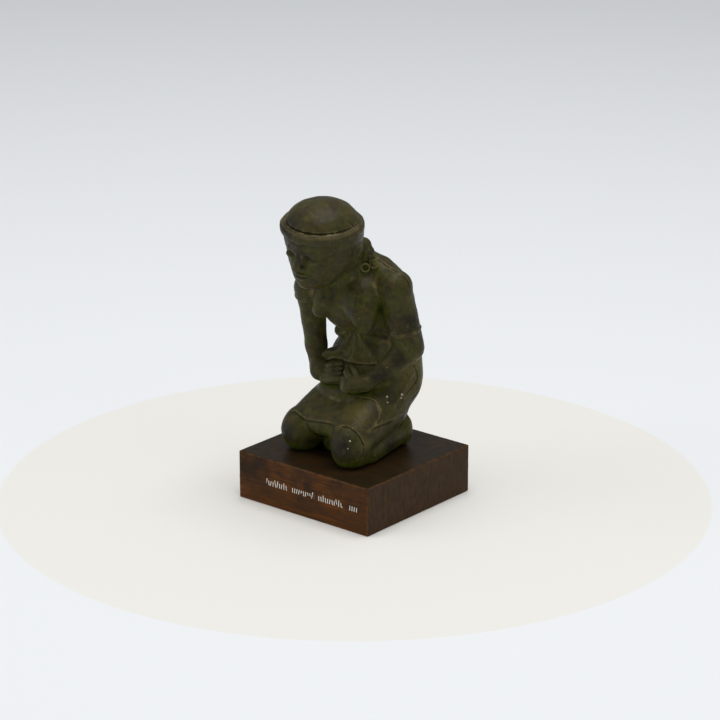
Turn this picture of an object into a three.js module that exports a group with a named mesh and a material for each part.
// A small cast figure of a kneeling woman in a cap, glued to a square wooden plinth.
// Millimetres, +Z up, -Y is the plinth's front face, +X is the figure's left.
// The origin is the middle of the plinth's underside.

import * as THREE from 'three';
import { mergeVertices } from 'three/addons/utils/BufferGeometryUtils.js';

// Driving dimensions
const plinthWidth = 80;
const plinthDepth = 76.5;
const plinthHeight = 23.8;
const plinthEdgeEase = 0.6;
const plinthCornerRadius = 0.9;
const figureHeight = 126.8;
const glueLine = 0.1;

// Fineness of the figure's faceted surface
const surfaceStep = 1.3;
const figureTriangles = 8800;

// The figure is laid out in parts of its own height, with the plinth's top at zero.
const partsInHeight = 126.8;
const part = figureHeight / partsInHeight;
const reach = { low: [-35, -40.3, -1.95], high: [35, 39, 131] };

// A form is a function of x, y and z that gives the distance to its surface, negative inside.

const degrees = THREE.MathUtils.degToRad;

/** Turn about x first, then y, then z. */
function turned(aboutX = 0, aboutY = 0, aboutZ = 0) {
  const euler = new THREE.Euler(degrees(aboutX), degrees(aboutY), degrees(aboutZ), 'ZYX');
  return new THREE.Matrix4().makeRotationFromEuler(euler);
}

const UPRIGHT = turned();

/** An ellipsoid with its middle, its three half lengths and its turn. */
function ball([cx, cy, cz], [rx, ry, rz], turn = UPRIGHT) {
  const m = turn.elements;
  return (x, y, z) => {
    const dx = x - cx;
    const dy = y - cy;
    const dz = z - cz;
    const u = (m[0] * dx + m[1] * dy + m[2] * dz) / rx;
    const v = (m[4] * dx + m[5] * dy + m[6] * dz) / ry;
    const w = (m[8] * dx + m[9] * dy + m[10] * dz) / rz;
    const near = Math.sqrt(u * u + v * v + w * w);
    const slope = Math.sqrt((u / rx) ** 2 + (v / ry) ** 2 + (w / rz) ** 2);
    return (near * (near - 1)) / Math.max(slope, 1e-6);
  };
}

/** A straight limb with round ends, ra thick at a and rb thick at b. */
function taper(a, b, ra, rb) {
  const along = [b[0] - a[0], b[1] - a[1], b[2] - a[2]];
  const lengthSq = along[0] ** 2 + along[1] ** 2 + along[2] ** 2;
  const fall = ra - rb;
  const slant = lengthSq - fall * fall;
  return (x, y, z) => {
    const px = x - a[0];
    const py = y - a[1];
    const pz = z - a[2];
    const t = px * along[0] + py * along[1] + pz * along[2];
    const over = t - lengthSq;
    const qx = px * lengthSq - t * along[0];
    const qy = py * lengthSq - t * along[1];
    const qz = pz * lengthSq - t * along[2];
    const side = qx * qx + qy * qy + qz * qz;
    const below = t * t * lengthSq;
    const above = over * over * lengthSq;
    const turnPoint = Math.sign(fall) * fall * fall * side;
    if (Math.sign(over) * slant * above > turnPoint) {
      return Math.sqrt(side + above) / lengthSq - rb;
    }
    if (Math.sign(t) * slant * below < turnPoint) {
      return Math.sqrt(side + below) / lengthSq - ra;
    }
    return (Math.sqrt((side * slant) / lengthSq) + t * fall) / lengthSq - ra;
  };
}

/** A limb through several points, with a thickness at each. */
function limb(points, thickness) {
  const pieces = points.slice(1).map((end, i) => taper(points[i], end, thickness[i], thickness[i + 1]));
  return (x, y, z) => {
    let near = Infinity;
    for (const piece of pieces) near = Math.min(near, piece(x, y, z));
    return near;
  };
}

/** A ring with its middle, its axis, its radius and the radius of its section. */
function ring(centre, axis, radius, section) {
  const n = new THREE.Vector3(...axis).normalize();
  return (x, y, z) => {
    const dx = x - centre[0];
    const dy = y - centre[1];
    const dz = z - centre[2];
    const height = dx * n.x + dy * n.y + dz * n.z;
    const out = Math.sqrt(Math.max(dx * dx + dy * dy + dz * dz - height * height, 0));
    return Math.hypot(out - radius, height) - section;
  };
}

/** Two distances joined with a fillet of the given softness. */
function joinSoft(a, b, softness) {
  const h = Math.max(softness - Math.abs(a - b), 0) / softness;
  return Math.min(a, b) - (h * h * h * softness) / 6;
}

/** The first form with the others joined on, each pair being [softness, form]. */
function joined(first, ...others) {
  return (x, y, z) => {
    let near = first(x, y, z);
    for (const [softness, form] of others) near = joinSoft(near, form(x, y, z), softness);
    return near;
  };
}

/** The form with a hollow cut into it, its rim softened. */
function hollowed(form, softness, tool) {
  return (x, y, z) => -joinSoft(-form(x, y, z), tool(x, y, z), softness);
}

/** The form moved to a place and turned there. */
function placed(form, [cx, cy, cz], turn) {
  const m = turn.elements;
  return (x, y, z) => {
    const dx = x - cx;
    const dy = y - cy;
    const dz = z - cz;
    return form(
      m[0] * dx + m[1] * dy + m[2] * dz,
      m[4] * dx + m[5] * dy + m[6] * dz,
      m[8] * dx + m[9] * dy + m[10] * dz,
    );
  };
}

/** The form and its mirror image across x = 0. */
function bothSides(form) {
  return (x, y, z) => form(Math.abs(x), y, z);
}

/** A smooth step from 0 at a to 1 at b. */
const easeBetween = (a, b, x) => THREE.MathUtils.smoothstep(x, a, b);

// Joints of the pose, in parts: x to her left, y to the back, z up

const headMiddle = [-4.6, -17.6, 114.6];
const headTurn = turned(8, 6, 0);
const shoulder = { right: [-23, -4.5, 77.5], left: [18.8, 7, 82.5] };
const elbow = { right: [-23.9, 0.2, 47], left: [24, 11.5, 53] };
const wrist = { right: [-17.5, -4.5, 37], left: [11.5, -6, 37] };
const forearmMiddle = [19, 3.2, 43.2];

/** The point a share of the way from one joint to the next. */
const between = (a, b, share) => a.map((value, i) => value + (b[i] - value) * share);

function face(skull) {
  const sockets = bothSides(ball([6.2, -17.6, -11.4], [4.6, 2.4, 2.5]));
  const lids = bothSides(ball([6, -14.3, -11.8], [3.7, 2.1, 1.9]));
  const brows = bothSides(limb([[2.2, -16.2, -8.2], [6.2, -15.8, -7.3], [10.5, -12.6, -8.4]], [1, 1.1, 0.8]));
  const nose = limb([[0, -15.6, -8], [0, -18.8, -15.6]], [1.3, 1.9]);
  const nostrils = bothSides(ball([2, -16.8, -16.2], [1.5, 1.8, 1.3]));
  const lips = joined(
    ball([0, -15.6, -19.7], [3.9, 1.8, 0.95]),
    [0.5, ball([0, -15.4, -21.5], [3.3, 1.8, 1.05])],
  );
  const chin = ball([0, -12.8, -25], [3.6, 3, 2.8]);
  return joined(
    hollowed(skull, 2, sockets),
    [0.5, lids],
    [1.5, brows],
    [1.6, nose],
    [0.9, nostrils],
    [0.7, lips],
    [2.5, chin],
  );
}

function head() {
  const skull = joined(
    ball([0, 0.8, -3.2], [19, 19, 13.8]),
    [5, ball([0, -1.5, -13], [15.8, 15.2, 15.5])],
    [6, ball([0, -6.5, -22], [9.5, 9, 8])],
    [4, ball([0, 6.5, -13], [16.2, 12.5, 14])],
  );
  const ears = bothSides(hollowed(
    ball([15.2, 6.2, -11], [1.6, 3.2, 5]),
    0.8,
    ball([17.1, 5.8, -10.6], [1.3, 1.9, 3.3]),
  ));
  return joined(face(skull), [0.8, ears]);
}

function cap() {
  const dome = ball([0.2, 0, 0.4], [17.5, 17.5, 11.6]);
  const bandRadius = 18.2;
  const bandThickness = 1.55;
  const bandHalfHeight = 0.6;
  const band = (x, y, z) => {
    const out = Math.hypot(x, y) - bandRadius;
    const up = Math.max(Math.abs(z + 0.4) - bandHalfHeight, 0);
    return Math.hypot(out, up) - bandThickness;
  };
  const bandLip = ring([0, 0, 1.9], [0, 0, 1], 17.8, 0.75);
  return joined(dome, [0.5, band], [1, bandLip]);
}

function torso() {
  const chest = ball([-3, 2.6, 74], [17, 12.6, 17], turned(10, 0, 12));
  const upperBack = ball([-1, 8, 80], [19.5, 13.5, 15], turned(28, 0, 12));
  const mantle = ball([1.5, 11.5, 72.5], [21, 16, 22], turned(20, 0, 16));
  const waist = ball([-2, 10.5, 54], [14.4, 12.2, 24], turned(-4, 0, 0));
  const shoulders = limb([shoulder.right, [-12, 3, 84], [8.5, 9.5, 85.9], shoulder.left], [8, 9, 8.4, 8.4]);
  const collar = taper([-1, 5, 92.6], [6.5, 8, 88.6], 7.2, 7);
  const neck = taper([-3, 4, 86], [-4.5, -8, 101], 11.5, 10.5);
  const armpitCloth = ball([12, 12.5, 59], [11.5, 6, 18.5], turned(8, 0, 25));
  const belly = ball([-2, 3.5, 41], [13, 8, 9]);
  const handRest = ball([-2.5, -0.6, 36.5], [17, 7, 7.5]);
  const sideCloth = taper([-15, -0.5, 43], [-10, 1, 46], 3.4, 3.4);
  const breastRight = limb([[-9.5, -2.5, 81], [-10.4, -6.8, 75], [-11.6, -9.6, 70]], [8.4, 7, 4.3]);
  const breastEdge = taper([-13.6, -10.2, 69.4], [-7, -6.4, 69.6], 2.7, 3);
  const breastLeft = limb([[6.5, -2.5, 79], [9.6, -4.9, 70.5], [11.2, -5.3, 63.6]], [8.4, 6.6, 3]);
  const armpit = limb([[17.5, -1.5, 72], [16.6, 1.2, 66.5]], [1.6, 2.6]);
  const body = joined(
    chest,
    [6, upperBack],
    [6, waist],
    [6, shoulders],
    [6, neck],
    [4, collar],
    [4, armpitCloth],
    [4, belly],
    [3, handRest],
    [3, sideCloth],
    [4, breastRight],
    [3, breastEdge],
    [4, breastLeft],
  );
  const backCloth = hollowed(mantle, 1.5, (x, y, z) => y - 3.5 + 0.3 * (z - 84) + 0.1 * x);
  return joined(hollowed(body, 3, armpit), [1, backCloth]);
}

/** Folds of the belly cloth, fanning out from a point below the breasts. */
function pleated(form) {
  const gather = [1.5, 62.5];
  const foldDepth = 0.75;
  const foldsPerRadian = 17;
  const foldSwing = 0.021;
  return (x, y, z) => {
    const across = x - gather[0];
    const down = gather[1] - z;
    const angle = Math.atan2(across, Math.max(down, 0.01));
    const away = Math.hypot(across, down);
    const strength = Math.min(away / 15, 1)
      * easeBetween(3, 6, away)
      * (1 - easeBetween(22, 27, away))
      * (1 - easeBetween(1.2, 1.45, Math.abs(angle)))
      * (1 - easeBetween(5, 9, y))
      * easeBetween(0, 2, down)
      * easeBetween(44.6, 47, z);
    const swung = angle * (1 - foldSwing * away);
    return form(x, y, z) - foldDepth * strength * Math.cos(swung * foldsPerRadian);
  };
}

function rightArm() {
  const upper = taper(shoulder.right, elbow.right, 7.5, 4.9);
  const fore = taper(elbow.right, wrist.right, 4.9, 4.5);
  const axis = elbow.right.map((value, i) => value - shoulder.right[i]);
  const sleeveEdge = ring(between(shoulder.right, elbow.right, 0.13), axis, 7.3, 0.8);
  return joined(upper, [4, fore], [1.2, sleeveEdge]);
}

function leftArm() {
  const upper = taper(shoulder.left, elbow.left, 8.3, 7.4);
  const fore = limb([elbow.left, forearmMiddle, wrist.left], [6.6, 5.2, 3.7]);
  const axis = elbow.left.map((value, i) => value - shoulder.left[i]);
  const armBand = ring(between(shoulder.left, elbow.left, 0.72), axis, 7.5, 0.8);
  const bandKnot = ball([22.3, 2.7, 61.7], [1.9, 1.9, 1.9]);
  return joined(upper, [2, fore], [0.8, armBand], [0.6, bandKnot]);
}

/** Four fingers side by side, each moved on from the one before by the steps given. */
function fingers(joints, steps, thickness) {
  const count = 4;
  const all = [];
  for (let i = 0; i < count; i += 1) {
    const share = i / (count - 1);
    all.push(limb(joints.map((joint, j) => joint.map((value, k) => value + steps[j][k] * share)), thickness));
  }
  return all;
}

function rightHand() {
  const heel = taper([-18, -5, 39.4], [-14.6, -7.8, 38], 4.5, 4.8);
  const knuckles = ball([-12.9, -8.1, 38], [4.9, 3.9, 5], turned(0, 25, 0));
  const palm = ball([-7, -5.6, 38.2], [6.4, 4.4, 5.2], turned(0, 20, 0));
  const digits = fingers(
    [[-12, -7.8, 39.9], [-7, -7.6, 42.3], [-3.4, -5.6, 42.9]],
    [[2.4, -3, -4.8], [3, -3.4, -5.6], [3.2, -3.6, -5.4]],
    [2.1, 1.75, 1.3],
  );
  return joined(heel, [1.5, knuckles], [1, palm], ...digits.map((digit) => [0.3, digit]));
}

function leftHand() {
  const back = taper([12, -6.6, 37.2], [6.4, -8.2, 36], 4.2, 4.6);
  const palm = ball([4.2, -6.4, 36.8], [4.3, 4.2, 5.1]);
  const digits = fingers(
    [[4.8, -11.2, 37.4], [2.1, -10, 38.2], [1.3, -7.2, 39.4]],
    [[-0.2, -0.6, -4.2], [-0.1, -0.4, -4.4], [0.4, -0.4, -4.6]],
    [1.9, 1.6, 1.3],
  );
  const forefinger = limb([[5.8, -10, 39.4], [3, -9.2, 41.4], [1.7, -6.6, 42.6]], [1.9, 1.7, 1.3]);
  const thumb = limb([[8.8, -8.4, 39.6], [6.2, -7.4, 42.2], [3.2, -6, 43.2]], [1.8, 1.5, 1.15]);
  return joined(back, [1, palm], ...digits.map((digit) => [0.3, digit]), [0.3, forefinger], [0.4, thumb]);
}

function lap() {
  const hips = ball([0.3, 17.2, 35.5], [24.5, 17.8, 21.5]);
  const waistCloth = ball([-1.5, 12, 42], [19, 15, 14]);
  const hipLeft = ball([13.8, 15, 45], [12.2, 11.9, 14.5]);
  const thighRight = taper([-11, 8, 21], [-19.2, -12, 11], 14, 10.2);
  const thighLeft = taper([8, 8, 22], [13, -16, 12], 15, 10.5);
  const skirtFront = ball([-4, -6.5, 20], [18, 17.5, 8], turned(20, 4, 0));
  const skirtUnderHands = ball([-3, -4.5, 29], [14, 6.6, 4.8]);
  const betweenKnees = ball([-3.5, -5, 6], [13, 11, 10]);
  return joined(
    hips,
    [6, waistCloth],
    [5, hipLeft],
    [5, thighRight],
    [5, thighLeft],
    [6, skirtFront],
    [4, skirtUnderHands],
    [3, betweenKnees],
  );
}

function legs() {
  const kneeRight = ball([-19.5, -14.5, 9.5], [10, 11, 11.5], turned(0, 0, -15));
  const kneeLeft = ball([13.5, -18, 9.5], [9.6, 11, 12], turned(0, 0, 10));
  const calfRight = taper([-20, -8, 5.5], [-17, 20, 6.5], 7.5, 6.5);
  const calfLeft = taper([15.5, -10, 5.5], [13.5, 14, 6.5], 7.5, 6.2);
  const footRight = ball([-17, 22.5, 8], [7.5, 6.5, 8.5]);
  const footLeft = ball([12.8, 18, 7.7], [7.2, 6.1, 8.8]);
  return joined(kneeRight, [1, kneeLeft], [3, calfRight], [3, calfLeft], [1.5, footLeft], [1.5, footRight]);
}

/** The knot of hair behind the left ear and the lock that hangs from it. */
function hairKnot() {
  const knot = ball([4.5, 1, 102], [4, 4.2, 3.8]);
  const lock = taper([6, 2.2, 98.5], [7, 1.6, 92.5], 3.6, 2.2);
  return joined(knot, [1.5, lock]);
}

function kneelingWoman() {
  const body = joined(pleated(torso()), [3, lap()], [1.2, legs()]);
  const withArms = joined(body, [2, rightArm()], [2, leftArm()], [0.8, rightHand()], [0.8, leftHand()]);
  const headInCap = placed(joined(head(), [0.5, cap()]), headMiddle, headTurn);
  const whole = joined(withArms, [0.6, hairKnot()], [1, headInCap]);
  return (x, y, z) => Math.max(whole(x, y, z), -z);
}

/** Moves sampled points along the form's slope until they lie on it; the flat underside stays. */
function settled({ positions, triangles }, form) {
  const feel = 0.05;
  const flatBelow = 0.4;
  const farthest = 0.4;
  for (let i = 0; i < positions.length; i += 3) {
    const [x, y, z] = positions.subarray(i, i + 3);
    if (z < flatBelow) {
      positions[i + 2] = Math.max(z, 0);
      continue;
    }
    const here = form(x, y, z);
    const slope = [form(x + feel, y, z), form(x, y + feel, z), form(x, y, z + feel)]
      .map((value) => (value - here) / feel);
    const steepness = Math.max(slope[0] ** 2 + slope[1] ** 2 + slope[2] ** 2, 0.2);
    const move = THREE.MathUtils.clamp(here / steepness, -farthest, farthest);
    positions[i] -= slope[0] * move;
    positions[i + 1] -= slope[1] * move;
    positions[i + 2] = Math.max(z - slope[2] * move, 0);
  }
  return { positions, triangles };
}

/**
 * Samples a form on a grid and returns its surface as a closed triangle mesh.
 * Each grid cell is six tetrahedra round one diagonal, so neighbours always agree.
 */
function surfaceOf(form, { low, high }, step) {
  const count = low.map((value, i) => Math.ceil((high[i] - value) / step) + 1);
  const [nx, ny, nz] = count;
  const stride = [1, nx, nx * ny];
  const field = new Float32Array(nx * ny * nz);
  const place = (i, axis) => low[axis] + i * step;

  // Blocks far from the surface take the distance at their middle.
  const block = 4;
  const nearEnough = 1.6 * block * step;
  for (let bz = 0; bz < nz; bz += block) {
    for (let by = 0; by < ny; by += block) {
      for (let bx = 0; bx < nx; bx += block) {
        const half = (block - 1) / 2;
        const middle = form(place(bx + half, 0), place(by + half, 1), place(bz + half, 2));
        const far = Math.abs(middle) > nearEnough;
        for (let k = bz; k < Math.min(bz + block, nz); k += 1) {
          for (let j = by; j < Math.min(by + block, ny); j += 1) {
            for (let i = bx; i < Math.min(bx + block, nx); i += 1) {
              const value = far ? middle : form(place(i, 0), place(j, 1), place(k, 2));
              field[i + j * stride[1] + k * stride[2]] = value === 0 ? 1e-6 : value;
            }
          }
        }
      }
    }
  }

  const positions = [];
  const triangles = [];
  const cut = new Map();
  const corner = (bits) => (bits & 1) * stride[0] + ((bits >> 1) & 1) * stride[1] + ((bits >> 2) & 1) * stride[2];
  const offsets = [0, 1, 2, 3, 4, 5, 6, 7].map(corner);
  const paths = [[1, 3], [1, 5], [2, 3], [2, 6], [4, 5], [4, 6]];
  const handed = [1, -1, -1, 1, 1, -1];

  const cutVertex = (a, b) => {
    const lowNode = Math.min(a, b);
    const highNode = Math.max(a, b);
    const key = lowNode * field.length + highNode;
    const known = cut.get(key);
    if (known !== undefined) return known;
    const share = field[lowNode] / (field[lowNode] - field[highNode]);
    for (let axis = 0; axis < 3; axis += 1) {
      const i = Math.floor(lowNode / stride[axis]) % count[axis];
      const j = Math.floor(highNode / stride[axis]) % count[axis];
      positions.push(low[axis] + (i + (j - i) * share) * step);
    }
    const index = positions.length / 3 - 1;
    cut.set(key, index);
    return index;
  };

  const addTetrahedron = (nodes, hand) => {
    const inside = nodes.filter((node) => field[node] < 0);
    if (inside.length === 0 || inside.length === 4) return;
    const outside = nodes.filter((node) => field[node] >= 0);
    const order = [...inside, ...outside];
    let swaps = 0;
    const rank = order.map((node) => nodes.indexOf(node));
    for (let a = 0; a < 4; a += 1) {
      for (let b = a + 1; b < 4; b += 1) swaps += rank[a] > rank[b] ? 1 : 0;
    }
    const forward = (swaps % 2 === 0 ? 1 : -1) * hand > 0;
    const push = (a, b, c) => (forward ? triangles.push(a, b, c) : triangles.push(a, c, b));
    const [p, q, r, s] = order;
    if (inside.length === 1) {
      push(cutVertex(p, q), cutVertex(p, r), cutVertex(p, s));
    } else if (inside.length === 3) {
      push(cutVertex(s, p), cutVertex(s, q), cutVertex(s, r));
    } else {
      const corners = [cutVertex(p, r), cutVertex(p, s), cutVertex(q, s), cutVertex(q, r)];
      push(corners[0], corners[1], corners[2]);
      push(corners[0], corners[2], corners[3]);
    }
  };

  for (let k = 0; k < nz - 1; k += 1) {
    for (let j = 0; j < ny - 1; j += 1) {
      for (let i = 0; i < nx - 1; i += 1) {
        const base = i + j * stride[1] + k * stride[2];
        let negatives = 0;
        for (const offset of offsets) negatives += field[base + offset] < 0 ? 1 : 0;
        if (negatives === 0 || negatives === 8) continue;
        paths.forEach(([first, second], t) => {
          const nodes = [0, first, second, 7].map((bits) => base + offsets[bits]);
          addTetrahedron(nodes, handed[t]);
        });
      }
    }
  }
  return { positions: Float64Array.from(positions), triangles: Uint32Array.from(triangles) };
}

/** A queue that always gives back the entry with the least cost. */
class LeastFirst {
  constructor() {
    this.entries = [];
  }

  add(entry) {
    const { entries } = this;
    entries.push(entry);
    let i = entries.length - 1;
    while (i > 0) {
      const parent = (i - 1) >> 1;
      if (entries[parent].cost <= entries[i].cost) break;
      [entries[parent], entries[i]] = [entries[i], entries[parent]];
      i = parent;
    }
  }

  take() {
    const { entries } = this;
    const least = entries[0];
    const last = entries.pop();
    if (entries.length === 0) return least;
    entries[0] = last;
    let i = 0;
    for (;;) {
      const left = 2 * i + 1;
      const right = left + 1;
      let smallest = i;
      if (left < entries.length && entries[left].cost < entries[smallest].cost) smallest = left;
      if (right < entries.length && entries[right].cost < entries[smallest].cost) smallest = right;
      if (smallest === i) return least;
      [entries[smallest], entries[i]] = [entries[i], entries[smallest]];
      i = smallest;
    }
  }

  get size() {
    return this.entries.length;
  }
}

/** Closed triangle mesh whose edges can be collapsed one at a time. */
class Simplifier {
  constructor({ positions, triangles }) {
    this.place = positions;
    this.corners = triangles;
    this.alive = triangles.length / 3;
    this.dead = new Uint8Array(this.alive);
    this.around = Array.from({ length: positions.length / 3 }, () => new Set());
    this.version = new Uint32Array(positions.length / 3);
    this.error = new Float64Array((positions.length / 3) * 10);
    for (let t = 0; t < this.alive; t += 1) {
      for (let c = 0; c < 3; c += 1) this.around[triangles[3 * t + c]].add(t);
      this.addPlane(t);
    }
  }

  normalOf(a, b, c) {
    const p = this.place;
    const ux = p[3 * b] - p[3 * a];
    const uy = p[3 * b + 1] - p[3 * a + 1];
    const uz = p[3 * b + 2] - p[3 * a + 2];
    const vx = p[3 * c] - p[3 * a];
    const vy = p[3 * c + 1] - p[3 * a + 1];
    const vz = p[3 * c + 2] - p[3 * a + 2];
    return [uy * vz - uz * vy, uz * vx - ux * vz, ux * vy - uy * vx];
  }

  /** Adds a triangle's plane, weighted by its area, to the error of its corners. */
  addPlane(t) {
    const corners = [0, 1, 2].map((c) => this.corners[3 * t + c]);
    const n = this.normalOf(...corners);
    const size = Math.hypot(...n);
    if (size < 1e-12) return;
    const [a, b, c] = n.map((value) => value / size);
    const first = 3 * corners[0];
    const d = -(a * this.place[first] + b * this.place[first + 1] + c * this.place[first + 2]);
    const plane = [a * a, a * b, a * c, a * d, b * b, b * c, b * d, c * c, c * d, d * d];
    for (const corner of corners) {
      for (let i = 0; i < 10; i += 1) this.error[10 * corner + i] += plane[i] * size;
    }
  }

  neighbours(v) {
    const found = new Set();
    for (const t of this.around[v]) {
      for (let c = 0; c < 3; c += 1) found.add(this.corners[3 * t + c]);
    }
    found.delete(v);
    return found;
  }

  /** The cheapest place for the vertex that an edge collapses to, and what it costs. */
  collapseOf(a, b) {
    const q = new Float64Array(10);
    for (let i = 0; i < 10; i += 1) q[i] = this.error[10 * a + i] + this.error[10 * b + i];
    const costAt = (x, y, z) => q[0] * x * x + 2 * q[1] * x * y + 2 * q[2] * x * z + 2 * q[3] * x
      + q[4] * y * y + 2 * q[5] * y * z + 2 * q[6] * y + q[7] * z * z + 2 * q[8] * z + q[9];
    const p = this.place;
    const end = (v) => [p[3 * v], p[3 * v + 1], p[3 * v + 2]];
    const first = end(a);
    const last = end(b);
    const choices = [first, last, first.map((value, i) => (value + last[i]) / 2)];
    const matrix = new THREE.Matrix3().set(q[0], q[1], q[2], q[1], q[4], q[5], q[2], q[5], q[7]);
    const span = Math.hypot(...first.map((value, i) => value - last[i]));
    if (Math.abs(matrix.determinant()) > 1e-4) {
      const best = new THREE.Vector3(-q[3], -q[6], -q[8]).applyMatrix3(matrix.invert());
      const away = Math.hypot(best.x - choices[2][0], best.y - choices[2][1], best.z - choices[2][2]);
      if (away < 1.5 * span) choices.unshift(best.toArray());
    }
    const costs = choices.map((choice) => costAt(...choice));
    const least = costs.indexOf(Math.min(...costs));
    const stubby = 1e-3 * span * span;
    const [x, y, z] = choices[least];
    const onUnderside = first[2] === 0 && last[2] === 0;
    return { cost: costs[least] + stubby, target: [x, y, onUnderside ? 0 : Math.max(z, 0)] };
  }

  /** Whether the triangles round v keep facing the same way when v moves to the target. */
  staysFacing(v, other, target) {
    const kept = [this.place[3 * v], this.place[3 * v + 1], this.place[3 * v + 2]];
    let good = true;
    for (const t of this.around[v]) {
      const corners = [0, 1, 2].map((c) => this.corners[3 * t + c]);
      if (corners.includes(other)) continue;
      const before = this.normalOf(...corners);
      this.place.set(target, 3 * v);
      const after = this.normalOf(...corners);
      this.place.set(kept, 3 * v);
      const sizes = Math.hypot(...before) * Math.hypot(...after);
      const facing = before[0] * after[0] + before[1] * after[1] + before[2] * after[2];
      if (facing < 0.25 * sizes || Math.hypot(...after) < 1e-3) {
        good = false;
        break;
      }
    }
    return good;
  }

  collapse(a, b, target) {
    const shared = [...this.neighbours(a)].filter((v) => this.around[b].size && this.neighbours(b).has(v));
    if (shared.length !== 2) return false;
    if (this.around[a].size + this.around[b].size < 8) return false;
    if (!this.staysFacing(a, b, target) || !this.staysFacing(b, a, target)) return false;
    this.place.set(target, 3 * a);
    for (let i = 0; i < 10; i += 1) this.error[10 * a + i] += this.error[10 * b + i];
    for (const t of this.around[b]) {
      const corners = [0, 1, 2].map((c) => this.corners[3 * t + c]);
      if (corners.includes(a)) {
        this.dead[t] = 1;
        this.alive -= 1;
        for (const corner of corners) if (corner !== b) this.around[corner].delete(t);
      } else {
        this.corners[3 * t + corners.indexOf(b)] = a;
        this.around[a].add(t);
      }
    }
    this.around[b] = new Set();
    return true;
  }

  reduceTo(target) {
    const queue = new LeastFirst();
    const offer = (a, b) => {
      const { cost, target: place } = this.collapseOf(a, b);
      queue.add({ cost, a, b, place, stamp: this.version[a] + this.version[b] });
    };
    this.around.forEach((_, v) => {
      for (const other of this.neighbours(v)) if (other > v) offer(v, other);
    });
    while (this.alive > target && queue.size > 0) {
      const { a, b, place, stamp } = queue.take();
      const current = this.around[a].size && this.around[b].size && stamp === this.version[a] + this.version[b];
      if (!current || !this.collapse(a, b, place)) continue;
      this.version[a] += 1;
      for (const other of this.neighbours(a)) offer(a, other);
    }
  }

  geometry(scale) {
    const index = new Map();
    const points = [];
    const faces = [];
    for (let t = 0; t < this.dead.length; t += 1) {
      if (this.dead[t]) continue;
      for (let c = 0; c < 3; c += 1) {
        const v = this.corners[3 * t + c];
        if (!index.has(v)) {
          index.set(v, index.size);
          for (let axis = 0; axis < 3; axis += 1) points.push(this.place[3 * v + axis] * scale);
        }
        faces.push(index.get(v));
      }
    }
    const geometry = new THREE.BufferGeometry();
    geometry.setAttribute('position', new THREE.Float32BufferAttribute(points, 3));
    geometry.setIndex(faces);
    geometry.computeVertexNormals();
    return geometry;
  }
}

function makeFigure() {
  const form = kneelingWoman();
  const simplifier = new Simplifier(settled(surfaceOf(form, reach, surfaceStep), form));
  simplifier.reduceTo(figureTriangles);
  const castResin = new THREE.MeshStandardMaterial({ color: 0x55583f, roughness: 0.5, metalness: 0.25 });
  const figure = new THREE.Mesh(simplifier.geometry(part), castResin);
  figure.name = 'kneeling_figure';
  figure.position.z = plinthHeight + glueLine;
  return figure;
}

/** The plinth's plan, inset by the eased edge that the extrusion adds again. */
function plinthPlan() {
  const x = plinthWidth / 2 - plinthEdgeEase;
  const y = plinthDepth / 2 - plinthEdgeEase;
  const r = plinthCornerRadius;
  const plan = new THREE.Shape();
  plan.absarc(x - r, y - r, r, 0, Math.PI / 2);
  plan.absarc(-x + r, y - r, r, Math.PI / 2, Math.PI);
  plan.absarc(-x + r, -y + r, r, Math.PI, 1.5 * Math.PI);
  plan.absarc(x - r, -y + r, r, 1.5 * Math.PI, 2 * Math.PI);
  plan.closePath();
  return plan;
}

function makePlinth() {
  const block = new THREE.ExtrudeGeometry(plinthPlan(), {
    depth: plinthHeight - 2 * plinthEdgeEase,
    bevelEnabled: true,
    bevelThickness: plinthEdgeEase,
    bevelSize: plinthEdgeEase,
    bevelSegments: 3,
    curveSegments: 4,
  });
  block.deleteAttribute('uv');
  block.deleteAttribute('normal');
  const solid = mergeVertices(block, 1e-4);
  solid.computeVertexNormals();
  const stainedWood = new THREE.MeshStandardMaterial({ color: 0x4a2c1b, roughness: 0.45, metalness: 0 });
  const plinth = new THREE.Mesh(solid, stainedWood);
  plinth.name = 'plinth';
  plinth.position.z = plinthEdgeEase;
  return plinth;
}

const figurine = new THREE.Group();
figurine.add(makePlinth(), makeFigure());

export default figurine;
